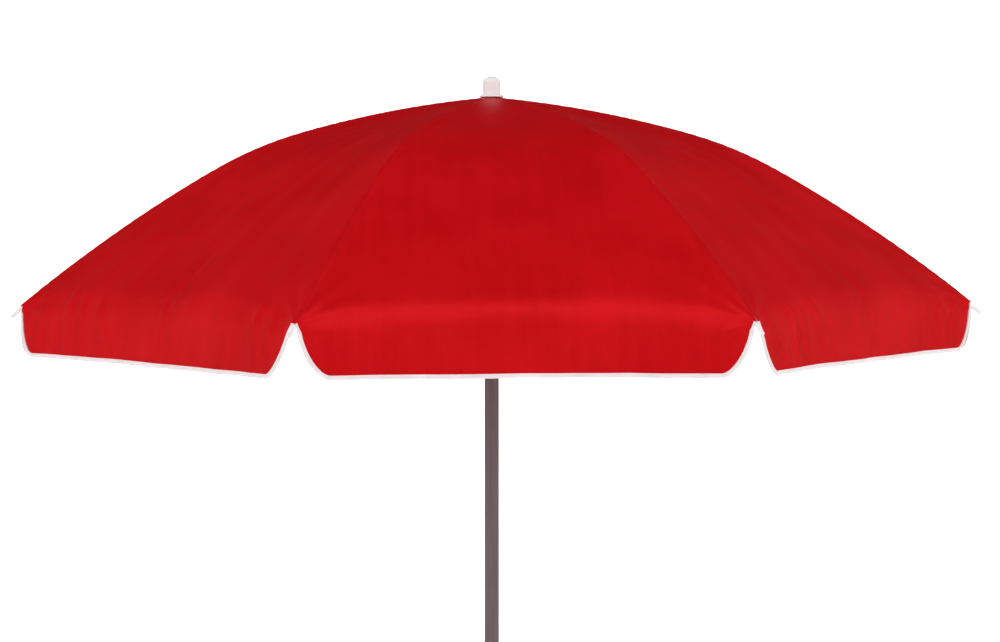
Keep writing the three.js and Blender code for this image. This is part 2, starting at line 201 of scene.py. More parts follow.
# %% Turned, swept and bent shapes
def rounded(corners, radius, steps=5):
    """The outline through the corners with each inner corner replaced by a quadratic curve that starts and
    ends one radius away, or less beside a short side."""
    corners = np.asarray(corners, float)
    line = [corners[:1]]
    share = np.linspace(0, 1, steps)[:, None]
    for before, corner, after in zip(corners[:-2], corners[1:-1], corners[2:]):
        into, out = before - corner, after - corner
        reach = min(radius, 0.45 * np.linalg.norm(into), 0.45 * np.linalg.norm(out))
        start = corner + into / np.linalg.norm(into) * reach
        end = corner + out / np.linalg.norm(out) * reach
        line.append((1 - share) ** 2 * start + 2 * share * (1 - share) * corner + share**2 * end)
    return np.concatenate(line + [corners[-1:]])


def turned(profile, segments=64, loop=False):
    """Radius and height pairs carried round the Z axis: x = r cos, y = r sin, z = height."""
    profile = np.asarray(profile, float)
    angle = np.arange(segments) * 2 * math.pi / segments
    radius, height = profile[:, :1], profile[:, 1:]
    ring = np.stack([radius * np.cos(angle), radius * np.sin(angle), height + 0 * angle], -1)
    return surface(ring, wrap=True, loop=loop)


def directions(path):
    """Unit vectors along a path of points, from the difference of its neighbours."""
    along = np.gradient(path, axis=0)
    return along / np.linalg.norm(along, axis=-1, keepdims=True)


def swept(path, radius, sides=12, side=(0, 1, 0)):
    """A round bar: circles of a given radius, across a path that stays square to the side direction."""
    path = np.asarray(path, float)
    across = np.broadcast_to(np.asarray(side, float), path.shape)
    up = np.cross(directions(path), across)
    angle = np.arange(sides) * 2 * math.pi / sides
    radius = np.broadcast_to(np.asarray(radius, float), len(path))[:, None, None]
    ring = across[:, None] * np.cos(angle)[None, :, None] + up[:, None] * np.sin(angle)[None, :, None]
    return surface(path[:, None] + radius * ring, wrap=True, caps=True)


def wire_ring(major, minor, centre, axis="z", around=64, sides=12):
    """A torus: a small circle carried round a large one, about the Z or the Y axis."""
    turn = np.arange(around)[:, None] * 2 * math.pi / around
    small = np.arange(sides)[None, :] * 2 * math.pi / sides
    out = major + minor * np.cos(small)
    flat = [out * np.cos(turn), out * np.sin(turn), minor * np.sin(small) + 0 * turn]
    order = flat if axis == "z" else [flat[0], flat[2], flat[1]]
    return surface(np.stack(order, -1) + np.asarray(centre), wrap=True, loop=True)


def lying(shape, origin, along, side=(0, 1, 0)):
    """A turned shape laid down: its own Z goes along a direction, its own Y stays on the side direction."""
    z = np.asarray(along, float) / np.linalg.norm(along)
    y = np.asarray(side, float)
    frame_of_shape = np.stack([np.cross(y, z), y, z])
    return {**shape, "points": shape["points"] @ frame_of_shape + np.asarray(origin)}


def on_rib(parts, number):
    """The parts of a rib's own frame, turned to that rib."""
    return [{**part, "points": to_rib(part["points"], number)} for part in parts]


def combine(piece, other, operation, sharp=40):
    """Cuts a closed piece by another (DIFFERENCE) or adds it (UNION), and throws the other away."""
    boolean = piece.modifiers.new("combine", "BOOLEAN")
    boolean.operation, boolean.solver, boolean.object = operation, "EXACT", other
    shape = bpy.data.meshes.new_from_object(piece.evaluated_get(bpy.context.evaluated_depsgraph_get()))
    piece.modifiers.clear()
    piece.data = shape
    bpy.data.objects.remove(other)
    shape.set_sharp_from_angle(angle=math.radians(sharp))
    return piece


def block(name, low, high):
    """A closed box between two corners, used as a cutter."""
    (x0, y0, z0), (x1, y1, z1) = low, high
    square = np.array([[x0, y0], [x1, y0], [x1, y1], [x0, y1]])
    rows = [np.column_stack([square, np.full(4, z)]) for z in (z0, z1)]
    return close_up(make_mesh(name, [surface(rows, wrap=True, caps=True)]))

# %% [markdown]
# Materials are written as sums. A small class wraps a socket, so that a noise can be added to a wave and
# scaled as ordinary numbers are, and one method makes every other node.


# %% Node sums
class Level:
    """A number that varies over a surface: one output socket of a material's node tree."""

    def __init__(self, finish, socket):
        self.finish, self.socket = finish, socket

    def sum_with(self, operation, other, other_first=False):
        pair = (other, self) if other_first else (self, other)
        return self.finish.node("Math", {"operation": operation}, {0: pair[0], 1: pair[1]})

    def __add__(self, other):
        return self.sum_with("ADD", other)

    def __radd__(self, other):
        return self.sum_with("ADD", other, True)

    def __sub__(self, other):
        return self.sum_with("SUBTRACT", other)

    def __rsub__(self, other):
        return self.sum_with("SUBTRACT", other, True)

    def __mul__(self, other):
        return self.sum_with("MULTIPLY", other)

    def __rmul__(self, other):
        return self.sum_with("MULTIPLY", other, True)

    def __truediv__(self, other):
        return self.sum_with("DIVIDE", other)

    def __pow__(self, other):
        return self.sum_with("POWER", other)


class Finish:
    """A material, its Principled shader, and the one method that adds any node to it."""

    def __init__(self, name, **fixed):
        self.material = bpy.data.materials.new(name)
        self.material.use_nodes = True
        self.tree = self.material.node_tree
        self.shader = self.tree.nodes["Principled BSDF"]
        for socket, value in fixed.items():
            self.shader.inputs[socket.replace("_", " ")].default_value = value

    def node(self, kind, settings=None, inputs=None, output=0):
        made = self.tree.nodes.new("ShaderNode" + kind)
        for name, value in (settings or {}).items():
            if name == "stops":
                for element, (place, colour) in zip(made.color_ramp.elements, value):
                    element.position, element.color = place, colour
            else:
                setattr(made, name, value)
        for name, value in (inputs or {}).items():
            if isinstance(value, Level):
                self.tree.links.new(value.socket, made.inputs[name])
            else:
                made.inputs[name].default_value = value
        return Level(self, made.outputs[output])

    def feed(self, socket, level):
        self.tree.links.new(level.socket, self.shader.inputs[socket])

    def place(self, flat=False):
        """Object coordinates, or the piece's own flat cut in metres."""
        if flat:
            return self.node("UVMap", {"uv_map": "cut"})
        return self.node("TexCoord", output=3)

    def stretch(self, place, scale):
        return self.node("Mapping", None, {"Vector": place, "Scale": scale})

    def noise(self, place, scale, detail=2.0, roughness=0.5):
        return self.node("TexNoise", None, {"Vector": place, "Scale": scale, "Detail": detail,
                                            "Roughness": roughness})

    def wave(self, place, scale, direction="X", distortion=0.0):
        return self.node("TexWave", {"bands_direction": direction},
                         {"Vector": place, "Scale": scale, "Distortion": distortion}, output=1)

    def between(self, level, low, high):
        return self.node("MapRange", {"clamp": True}, {"Value": level, "From Min": low, "From Max": high})

    def blend(self, share, first, second):
        return self.node("Mix", {"data_type": "RGBA"}, {0: share, 6: first, 7: second}, output=2)

    def relief(self, height, distance, strength=1.0):
        bump = self.node("Bump", None, {"Height": height, "Distance": distance, "Strength": strength})
        self.feed("Normal", bump)


# %% [markdown]
# The canopy is a thin, tightly woven polyester with a satin coating. Its thread is far finer than a
# highlight, so the weave is only a faint relief, and what the eye reads is the broad sheen, small changes of
# gloss where the cloth has been folded, and slightly deeper red where the coating is thick.

# %% Red coated cloth
def red_cloth():
    finish = Finish("red_coated_cloth", Metallic=0.11, Specular_IOR_Level=0.05)
    flat = finish.place(flat=True)
    cloudy = finish.noise(flat, 7.0, 4.0, 0.55)
    streaks = finish.noise(finish.stretch(flat, (60.0, 3.0, 1.0)), 1.0, 3.0)
    slubs = finish.noise(finish.stretch(flat, (900.0, 40.0, 1.0)), 1.0, 2.0)
    shade = finish.between(cloudy * 0.55 + streaks * 0.25 + slubs * 0.2, 0.38, 0.62)
    finish.feed("Base Color", finish.blend(shade, (0.545, 0.0030, 0.0050, 1), (0.640, 0.0050, 0.0085, 1)))
    finish.feed("Roughness", 0.38 + 0.10 * cloudy + 0.05 * streaks)
    warp, weft = finish.wave(flat, 260.0, "X"), finish.wave(flat, 260.0, "Y")
    finish.relief(warp * 0.5 + weft * 0.5 + 1.5 * slubs + 6.0 * streaks, 0.00006, 0.6)
    return finish.material


# %% White bias tape and thread
def white_tape():
    finish = Finish("white_bias_tape", Sheen_Weight=0.2, Specular_IOR_Level=0.3)
    flat = finish.place(flat=True)
    worn = finish.noise(flat, 30.0, 3.0)
    ribs = finish.wave(flat, 330.0, "DIAGONAL")
    grey = finish.between(worn, 0.35, 0.7)
    finish.feed("Base Color", finish.blend(grey, (0.88, 0.78, 0.795, 1), (0.80, 0.70, 0.715, 1)))
    finish.feed("Roughness", 0.68 + 0.15 * worn)
    finish.relief(ribs + 0.8 * worn, 0.0001, 0.5)
    return finish.material


def sewing_thread(name, colour):
    finish = Finish(name, Specular_IOR_Level=0.4)
    place = finish.place()
    twist_and_groove_shade = finish.wave(place, 900.0, "DIAGONAL")
    # the twist wave mixes in a darker copy of the thread's colour: painted shade in the grooves between the
    # twisted strands
    shaded = [0.75 * part for part in colour]
    finish.feed("Base Color", finish.blend(twist_and_groove_shade * 0.35, (*colour, 1), (*shaded, 1)))
    finish.feed("Roughness", 0.5 + 0.1 * twist_and_groove_shade)
    return finish.material


# %% [markdown]
# The moulded pieces are polythene and nylon. The finial and the rib ends are milky: light goes a little way
# in, so their shaded side stays pale. The runner and the hub are the same stock, and a fine grain keeps
# their highlights from looking like glass.

# %% Moulded plastics
def moulded(name, light, dark, rough, grain, **fixed):
    finish = Finish(name, **fixed)
    place = finish.place()
    flow = finish.noise(place, 45.0, 3.0)
    speckle = finish.noise(place, 1800.0, 1.0)
    finish.feed("Base Color", finish.blend(finish.between(flow, 0.35, 0.65), (*light, 1), (*dark, 1)))
    finish.feed("Roughness", rough + 0.10 * flow)
    finish.relief(speckle * 0.6 + flow, grain, 0.4)
    return finish.material


# %% [markdown]
# The poles are steel tube under a taupe powder coat. Powder melts to a skin with a slight orange-peel, so
# the relief is a soft noise of about two millimetres, with tiny specks of lighter powder, and faint rubbed
# bands where the runner slides.

# %% Powder coat and bare steel
def powder_coat():
    finish = Finish("taupe_powder_coat", Coat_Weight=0.15, Coat_Roughness=0.3)
    place = finish.place()
    peel = finish.noise(place, 520.0, 2.0)
    specks = finish.between(finish.noise(place, 2600.0, 1.0), 0.62, 0.72)
    rubbed = finish.noise(finish.stretch(place, (140.0, 140.0, 5.0)), 1.0, 3.0)
    tone = finish.between(rubbed * 0.7 + peel * 0.3, 0.35, 0.65) * 0.8 + specks * 0.2
    finish.feed("Base Color", finish.blend(tone, (0.165, 0.128, 0.132, 1), (0.205, 0.165, 0.168, 1)))
    finish.feed("Roughness", 0.36 + 0.14 * rubbed)
    finish.relief(peel + 0.3 * specks, 0.00008, 0.5)
    return finish.material


def zinc_steel():
    finish = Finish("zinc_plated_steel", Metallic=1.0)
    place = finish.place()
    bloom = finish.noise(place, 70.0, 4.0)
    drawn = finish.noise(place, 900.0, 2.0)
    dull = finish.between(bloom, 0.35, 0.65)
    finish.feed("Base Color", finish.blend(dull, (0.60, 0.61, 0.63, 1), (0.47, 0.47, 0.49, 1)))
    finish.feed("Roughness", 0.24 + 0.22 * bloom)
    finish.relief(drawn + bloom, 0.00003, 0.5)
    return finish.material


RED_CLOTH = red_cloth()
WHITE_TAPE = white_tape()
RED_THREAD = sewing_thread("red_thread", (0.42, 0.006, 0.010))
WHITE_THREAD = sewing_thread("white_thread", (0.80, 0.79, 0.78))
MILKY_PLASTIC = moulded("milky_plastic", (0.93, 0.875, 0.88), (0.88, 0.81, 0.82), 0.24, 0.00004,
                        Subsurface_Weight=0.35, Subsurface_Scale=0.004, IOR=1.5)
BLACK_PLASTIC = moulded("black_plastic", (0.030, 0.030, 0.032), (0.022, 0.022, 0.024), 0.42, 0.00012)
POWDER_COAT = powder_coat()
ZINC_STEEL = zinc_steel()
print("finishes:", [material.name for material in bpy.data.materials if material.use_nodes][-8:])


# %% Put a piece on its body
def finish_piece(piece, material, body=None, replaces=()):
    piece.data.materials.clear()
    piece.data.materials.append(material)
    if body:
        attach(piece, body)
    if replaces:
        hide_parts(*replaces)
    return piece


# %% [markdown]
# ## The canopy cloth
# Each gore is a triangle of cloth, sewn to its neighbours along the ribs, with its hanging valance. Between
# two ribs the stretched cloth runs straight from rib to rib and sags a little in the middle. When the
# umbrella folds, each gore folds along its own middle, so it is made in two halves: each half rides with its
# own rib, and the two halves share the middle line to the last digit, so that nothing shows there.
#
# A place on a half gore has two numbers. One goes across, 0 at the rib and 1 at mid gore. The other is the
# run in metres: below 0 it counts back from the fold towards the hub, above 0 it goes down the valance.

# %% Where the cloth is
FOLD_SOFTNESS = 27 * MM  # half the length over which the cloth turns from roof to valance


def fold_share(across):
    """Where the roof turns into the valance: at the rib tip, curving in towards mid gore."""
    return 1 - FOLD_RISE_IN / TIP_RADIUS * across * (2 - across)


def roof_dip(across, share):
    """Sag of the cloth under the straight line from rib to rib: a hump of sine out from the hub, and a
    parabola across."""
    return GORE_SAG * np.sin(np.pi * share) * across * (2 - across)


# height of the fold between roof and valance at mid gore
FOLD_LINE = float(cloth_height(fold_share(1.0)) - roof_dip(1.0, fold_share(1.0)))


def valance_depth(across):
    """Depth of the valance: its hem is level, and its corner follows about the root of a quarter of a sine
    from the notch."""
    fold_height = cloth_height(fold_share(across)) - roof_dip(across, fold_share(across))
    level = VALANCE_DEPTH + fold_height - FOLD_LINE
    corner = np.clip((across - NOTCH_SHARE) / (CORNER_SHARE - NOTCH_SHARE), 0, 1)
    return NOTCH_DEPTH + (level - NOTCH_DEPTH) * np.sin(corner * np.pi / 2) ** 0.55


def eased(run, width):
    """Run past the fold, with the corner at 0 rounded off over one width on each side by a parabola."""
    width = np.maximum(width, 1e-7)
    return np.where(run < -width, 0, np.where(run > width, run, (run + width) ** 2 / (4 * width)))


def smooth_cloth(across, run, side):
    """Places and normals of the cloth without its wrinkles, in the rib's own frame. side is +1 for the half
    anticlockwise of the rib and -1 for the other."""
    softness = np.minimum(FOLD_SOFTNESS, 0.45 * valance_depth(across))
    down = eased(run, softness)
    share = fold_share(across) - eased(-run, softness) / TIP_RADIUS
    along = across * share * TIP_RADIUS * math.sin(HALF_GORE)
    place = np.stack([share * TIP_RADIUS - along * math.sin(HALF_GORE), side * along * math.cos(HALF_GORE),
                      cloth_height(share) - roof_dip(across, share) - down], -1)
    turn = np.clip((run + softness) / np.maximum(2 * softness, 1e-7), 0, 1)[..., None]
    slope = rib_slope(share)[..., None]
    facing = np.array([math.cos(HALF_GORE), side * math.sin(HALF_GORE), 0.0])
    normal = (1 - turn) * (facing * np.sin(slope) + np.array([0, 0, 1.0]) * np.cos(slope)) + turn * facing
    return place, normal / np.linalg.norm(normal, axis=-1, keepdims=True)


# %% [markdown]
# Real cloth is never that smooth. Wrinkles are added along the normal, and all of them are functions of the
# place on the whole gore, so that its two halves agree: a slow billow, a crease from storage at mid gore,
# folds that fan out from each rib tip, where the cloth is pulled, a seam that is a little raised and
# puckered, and a valance that hangs free and so waves and ripples.

# %% Wrinkles
WAVES = np.random.default_rng(7).uniform(0, 2 * np.pi, (RIB_COUNT, 8))
LEAN = np.array([8, 5, 9, 6, 19, 4, 10, 7]) * MM  # how far each valance stands out at its hem
# soft ripples of the hanging valance: place across the gore at the top and at the hem, the runs where each
# starts and ends, its width and its height
RIPPLES = [
    (-0.84, -0.82, -0.002, 0.060, 5 * MM, 1.8 * MM), (-0.76, -0.74, 0.018, 0.070, 4 * MM, 1.6 * MM),
    (-0.66, -0.62, -0.030, 0.088, 6 * MM, 2.4 * MM), (-0.58, -0.50, -0.022, 0.088, 4 * MM, 1.9 * MM),
    (-0.46, -0.33, -0.015, 0.080, 7 * MM, 1.9 * MM), (0.85, 0.82, -0.005, 0.060, 5 * MM, 1.8 * MM),
    (0.79, 0.76, 0.010, 0.075, 4 * MM, 1.6 * MM), (0.72, 0.74, -0.020, 0.088, 6 * MM, 2.0 * MM),
    (0.60, 0.55, -0.010, 0.080, 5 * MM, 0.8 * MM), (0.05, 0.07, -0.110, 0.088, 4 * MM, -1.3 * MM),
    (0.12, 0.02, 0.030, 0.090, 5 * MM, -1.0 * MM),
]


def wrinkles(across, run, side, number):
    """Height of the wrinkles over the smooth cloth, in metres."""
    gore = (number - 1 if side > 0 else number - 2) % RIB_COUNT
    wave = WAVES[gore]
    sideways = (across - 1) if side > 0 else (1 - across)  # -1 at one rib, 0 at mid gore, +1 at the next
    share = np.clip(fold_share(across) + np.minimum(run, 0) / TIP_RADIUS, 0, 1)
    half_width = share * TIP_RADIUS * math.sin(HALF_GORE)
    from_rib, from_middle = half_width * across, half_width * sideways
    hanging = np.clip(run / VALANCE_DEPTH, 0, 1.1)
    free = 1 - np.exp(-from_rib / (30 * MM))

    billow = 1.6 * MM * free * share * (
        np.sin(3.1 * sideways + 5 * share + wave[0]) + 0.6 * np.sin(7.3 * sideways - 9 * share + wave[1]))
    streaks = 0.35 * MM * free * share * np.sin(23 * sideways + 2.0 * np.sin(4 * share + wave[2]) + wave[3])
    crease = -0.16 * MM * np.exp(-(from_middle / (6 * MM)) ** 2) * np.clip(share * 2 - 0.8, 0, 1)

    reach = np.hypot(from_rib, np.abs(run)) + 1e-9
    pull = np.exp(-reach / (70 * MM)) * np.clip(reach / (30 * MM), 0, 1) ** 2
    fan = 1.1 * MM * pull * np.sin(9 * np.arctan2(run, from_rib) + wave[4 + (side > 0)])

    at_seam = np.exp(-from_rib / (10 * MM))
    pucker = 0.30 * MM * at_seam * np.sin(2 * np.pi * run / (15 * MM) + 3 * np.sin(run / (40 * MM) + wave[6]))
    lap = 0.5 * MM * (side > 0) / (1 + np.exp((from_rib - 8 * MM) / (0.5 * MM)))

    swing = hanging**1.3 * free * (3.4 * MM * np.sin(5.2 * sideways + wave[7]) + 1.8 * MM * np.sin(
        12.7 * sideways + wave[3]) + 0.8 * MM * np.sin(27 * sideways + wave[5]))
    total = billow + streaks + crease + fan + pucker + lap + swing + LEAN[gore] * hanging
    strength = 1.1 + 0.5 * np.cos(np.pi * gore)
    for start, end, upper, lower, width, height in RIPPLES:
        down = np.clip((run - upper) / (lower - upper), 0, 1)
        middle = (start + (end - start) * down) * TIP_RADIUS * math.sin(HALF_GORE)
        total = total + strength * height * np.exp(-((from_middle - middle) / width) ** 2) * np.sin(
            np.pi * np.clip(down, 0, 1)) ** 0.6 * ((run > upper) & (run < lower))
    return total


def cloth(across, run, side, number):
    """Places and normals of the finished cloth: the smooth one, moved along its normal by the wrinkles."""
    across, run = np.broadcast_arrays(np.asarray(across, float), np.asarray(run, float))
    place, normal = smooth_cloth(across, run, side)
    place = place + normal * wrinkles(across, run, side, number)[..., None]
    return to_rib(place, number), to_rib(normal, number)


# %% The grid of a half gore
def corner_steps(count):
    """Places across the valance's corner, closer together where its edge is steep, beside the notch."""
    return NOTCH_SHARE + (CORNER_SHARE - NOTCH_SHARE) * np.linspace(0, 1, count) ** 2


ACROSS = np.concatenate([
    np.linspace(0, NOTCH_SHARE, 4)[:-1], corner_steps(24), np.linspace(CORNER_SHARE, 1, 52)[1:]])
ROOF_ROWS, TURN_ROWS, VALANCE_ROWS = 96, 12, 30


def half_gore_runs(across):
    """Rows of the grid: from the hub to the turn, closely over the turn, and down the valance."""
    depth = valance_depth(across)
    soft = np.minimum(FOLD_SOFTNESS, 0.45 * depth)
    hub = (HUB_RIM / TIP_RADIUS - fold_share(across)) * TIP_RADIUS
    down = np.linspace(0, 1, ROOF_ROWS)[:, None]
    roof = hub + (-soft - hub) * down
    turn = -soft + 2 * soft * np.linspace(0, 1, TURN_ROWS + 2)[1:-1, None]
    valance = soft + (depth - soft) * np.linspace(0, 1, VALANCE_ROWS)[:, None]
    return np.concatenate([roof, turn, valance])


print("grid of a half gore:", half_gore_runs(ACROSS).shape)

# %% [markdown]
# On a closed umbrella each half gore lies nearly flat beside its rib. The real cloth does that by slackening
# and crumpling. Here each piece of a half gore only gets its own copy of its mesh, and its shape is not
# flattened.


def fold_with_gore(piece):
    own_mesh(piece)
    return piece


# %% Bias tape round the hem
NAMES = {1: "left", -1: "right"}
TAPE_WIDTH = 5.6 * MM
TAPE_CLEARANCE = 0.15 * MM
STITCH_FROM = 14  # the stitching starts this many steps from the notch, where the tape has its full width
CLOTH_THICKNESS = 0.35 * MM


def hem_path(side, number):
    """The lower edge of a half gore from the notch to mid gore, with its normal and the direction from the
    edge into the cloth."""
    across = np.concatenate([corner_steps(70), np.linspace(CORNER_SHARE, 1, 90)[1:]])
    edge, normal = cloth(across, valance_depth(across), side, number)
    along = directions(edge)
    inward = np.cross(normal, along) * side
    inward /= np.linalg.norm(inward, axis=-1, keepdims=True)
    inward *= np.sign(inward[-1, 2])
    return edge, normal, inward


def tape(side, number):
    """A U-shaped strip over the edge: up the outer face, round the edge, and up the inner face. It is cut
    narrow at the notch, where two tapes meet."""
    edge, normal, inward = hem_path(side, number)
    lift = TAPE_CLEARANCE + 0.08 * MM
    inner = -CLOTH_THICKNESS - lift
    section = rounded([(TAPE_WIDTH, lift), (-lift, lift), (-lift, inner), (TAPE_WIDTH, inner)], 0.5 * MM, 5)
    length = np.concatenate([[0], np.cumsum(np.linalg.norm(np.diff(edge, axis=0), axis=-1))])
    taper = 0.25 + 0.75 * np.clip(length / (14 * MM), 0, 1)[:, None, None]
    points = edge[:, None] + inward[:, None] * section[:, :1] * taper + normal[:, None] * section[:, 1:]
    girth = np.concatenate([[0], np.cumsum(np.linalg.norm(np.diff(section, axis=0), axis=-1))])
    flat = np.stack(np.broadcast_arrays(length[:, None], girth[None, :]), -1)
    strip = make_mesh(f"hem_tape_{number}_{NAMES[side]}", [surface(points, flip=side < 0, uv=flat)], sharp=80)
    wall = strip.modifiers.new("tape thickness", "SOLIDIFY")
    wall.thickness, wall.offset = 0.45 * MM, 1.0
    return strip


# %% Stitches
def stitches(name, path, normal, length, gap, radius, lift):
    """Short rounded bars laid end to end: along a path, cut at equal steps, each a ring of six points that
    is thin at both ends and sits half sunk in the cloth."""
    travelled = np.concatenate([[0], np.cumsum(np.linalg.norm(np.diff(path, axis=0), axis=-1))])
    count = int(travelled[-1] / (length + gap))
    start = (np.arange(count) + 0.25) * (length + gap)
    step = np.linspace(0, 1, 6)
    where = start[:, None] + step * length
    centre = np.stack([np.interp(where, travelled, path[:, k]) for k in range(3)], -1)
    up = np.stack([np.interp(where, travelled, normal[:, k]) for k in range(3)], -1)
    ahead = centre[:, -1:] - centre[:, :1]
    ahead /= np.linalg.norm(ahead, axis=-1, keepdims=True)
    sideways = np.cross(np.broadcast_to(ahead, up.shape), up)
    fat = radius * np.sqrt(np.clip(1 - (2 * step - 1) ** 4, 0.05, 1))
    arch = lift * np.sin(np.pi * step)
    angle = np.arange(6) * np.pi / 3
    ring = (sideways[:, :, None] * np.cos(angle)[:, None] + up[:, :, None] * np.sin(angle)[:, None])
    points = centre[:, :, None] + (up * arch[:, None])[:, :, None] + ring * fat[:, None, None]
    return make_mesh(name, [surface(one, wrap=True, caps=True) for one in points], sharp=80)


# %% [markdown]
# Now the sixteen half gores are made. Each is a single sheet with a live Solidify modifier, which gives it
# its real thickness. The white tape and the lines of thread go with it.

# %% Make the canopy
gore_area = []
for number in range(1, RIB_COUNT + 1):
    for side, name in NAMES.items():
        runs = half_gore_runs(ACROSS)
        across = np.broadcast_to(ACROSS, runs.shape)
        points = cloth(across, runs, side, number)[0]
        width = (fold_share(across) * TIP_RADIUS + np.minimum(runs, 0)) * math.sin(HALF_GORE)
        flat = np.stack([(across - 1) * side * width, TIP_RADIUS + runs], -1)
        half = make_mesh(f"cloth_{number}_{name}", [surface(points, flip=side > 0, uv=flat)], sharp=180)
        wall = half.modifiers.new("cloth thickness", "SOLIDIFY")
        wall.thickness, wall.offset = CLOTH_THICKNESS, -1.0
        finish_piece(half, RED_CLOTH, f"gore_{number}_{name}", [f"gore_{number}_{name}"])
        band = finish_piece(tape(side, number), WHITE_TAPE, f"gore_{number}_{name}")

        edge, normal, inward = hem_path(side, number)
        on_tape = (edge + inward * (TAPE_WIDTH - 1.6 * MM) + normal * 0.75 * MM)[STITCH_FROM:]
        hem_thread = stitches(f"hem_thread_{number}_{name}", on_tape, normal[STITCH_FROM:],
                              2.8 * MM, 0.9 * MM, 0.22 * MM, 0.10 * MM)
        finish_piece(hem_thread, WHITE_THREAD, f"gore_{number}_{name}")
        seam_runs = np.linspace(runs[0, 0] + 4 * MM, -6 * MM, 260)
        seam_share = np.maximum(fold_share(0) + seam_runs / TIP_RADIUS, 0.02)
        from_rib = (6.5 if side > 0 else 2.5) * MM
        seam_across = np.minimum(from_rib / (seam_share * TIP_RADIUS * math.sin(HALF_GORE)), 0.6)
        seam_line, seam_normal = cloth(seam_across, seam_runs, side, number)
        on_seam = seam_line + seam_normal * 0.08 * MM
        seam_thread = stitches(f"seam_thread_{number}_{name}", on_seam, seam_normal,
                               3.0 * MM, 1.0 * MM, 0.2 * MM, 0.08 * MM)
        finish_piece(seam_thread, RED_THREAD, f"gore_{number}_{name}")

        plain = smooth_cloth(across, runs, side)[0]
        cells = np.cross(plain[1:, 1:] - plain[:-1, :-1], plain[1:, :-1] - plain[:-1, 1:])
        area = 0.5 * float(np.linalg.norm(cells, axis=-1).sum())
        gore_area.append(area)
        for piece in (half, band, hem_thread, seam_thread):
            fold_with_gore(piece)
print("cloth in all, square metres:", round(sum(gore_area), 3))

# %% [markdown]
# ## Ribs, rib ends and stretchers
# A rib is a spring-steel rod. Its inner end is an eye on the hub's wire ring, a riveted tab under its middle
# holds the stretcher, and its outer end sits in a moulded sleeve. The open canopy bends the rod, and it
# springs straight when the canopy slackens. Here the rod keeps its open, bent shape and rides on no body.

# %% Places that the joints give
def in_rib_plane(joint):
    """A joint of rib 1 seen in that rib's own plane: its distance from the pole and its height."""
    x, y, z = JOINTS[joint]["pos_m"]
    return np.array([math.hypot(x, y), 0.0, z])


HUB_PIVOT = in_rib_plane("rib_1_fold")
RIVET = in_rib_plane("stretcher_1_fold")
WIRE_RADIUS = 0.8 * MM
ring_low, ring_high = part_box("runner_ring")
RUNNER_PIVOT = np.array([ring_high.x - WIRE_RADIUS, 0.0, (ring_low.z + ring_high.z) / 2])
TAB_SHARE = 0.47
TAB_THICKNESS = 2.2 * MM
EYE_MAJOR, EYE_MINOR = 2.0 * MM, 0.85 * MM
print("rivet", RIVET.round(4), "runner pivot", RUNNER_PIVOT.round(4))


# %% Straps and rivets
def strap(start, end, radius, thickness, across=0.0):
    """A flat bar with round ends in the rib's plane: an outline of two half circles, carried across with its
    edges rounded."""
    start, end = np.asarray(start, float), np.asarray(end, float)
    heading = math.atan2(end[2] - start[2], end[0] - start[0])
    half = np.linspace(-np.pi / 2, np.pi / 2, 13)
    outline = np.concatenate([half + heading, half + heading + np.pi])
    centre = np.repeat([end, start], len(half), axis=0)
    bevel = min(0.3 * MM, thickness / 4)
    rows = []
    for y, inset in ((-thickness / 2, bevel), (-thickness / 2 + bevel, 0), (thickness / 2 - bevel, 0),
                     (thickness / 2, bevel)):
        row = centre + (radius - inset) * np.stack([np.cos(outline), 0 * outline, np.sin(outline)], -1)
        row[:, 1] = y + across
        rows.append(row)
    return surface(rows, wrap=True, caps=True)


def rivet_pin(centre, length, pin, head):
    """A pin across the rib's plane with a low dome on both ends."""
    dome = np.linspace(0, np.pi / 2, 6)
    top = [(head * math.cos(a), length / 2 + 0.9 * MM * math.sin(a)) for a in dome]
    bottom = [(radius, -height) for radius, height in reversed(top)]
    profile = bottom + [(pin, -length / 2), (pin, length / 2)] + top
    return lying(turned(profile, 20), centre, (0, 1, 0), (0, 0, 1))


# %% Make the ribs
rod_share = np.concatenate([[HUB_RIM / TIP_RADIUS], np.linspace(0.045, 1.0, 90)])
rod_path = np.concatenate([[HUB_PIVOT + (EYE_MAJOR, 0, 0)], under_cloth(rod_share, RIB_DROP)])
tab_top = under_cloth(TAB_SHARE, RIB_DROP)
tip_middle = under_cloth(1.0, RIB_DROP)
tip_heading = np.array([math.cos(rib_slope(1.0)), 0, -math.sin(rib_slope(1.0))])
SLEEVE_BEHIND, SLEEVE_AHEAD, SLEEVE_RADIUS = 14 * MM, 22 * MM, 3 * MM

nose = np.linspace(0, np.pi / 2, 10)
NOSE_RADIUS, NOSE_LENGTH = SLEEVE_RADIUS * 0.92, 2.8 * MM
NOSE_START = SLEEVE_AHEAD - NOSE_LENGTH
sleeve_outline = np.concatenate([
    rounded([(RIB_RADIUS, -SLEEVE_BEHIND), (SLEEVE_RADIUS, -SLEEVE_BEHIND), (SLEEVE_RADIUS * 0.94, -1.5 * MM),
             (SLEEVE_RADIUS, -1.0 * MM), (SLEEVE_RADIUS, 1.6 * MM), (NOSE_RADIUS, 2.2 * MM),
             (NOSE_RADIUS, NOSE_START)], 0.5 * MM),
    np.stack([NOSE_RADIUS * np.cos(nose), NOSE_START + NOSE_LENGTH * np.sin(nose)], -1)[1:]])
sleeve_profile = np.concatenate([[(0, -SLEEVE_BEHIND)], sleeve_outline])

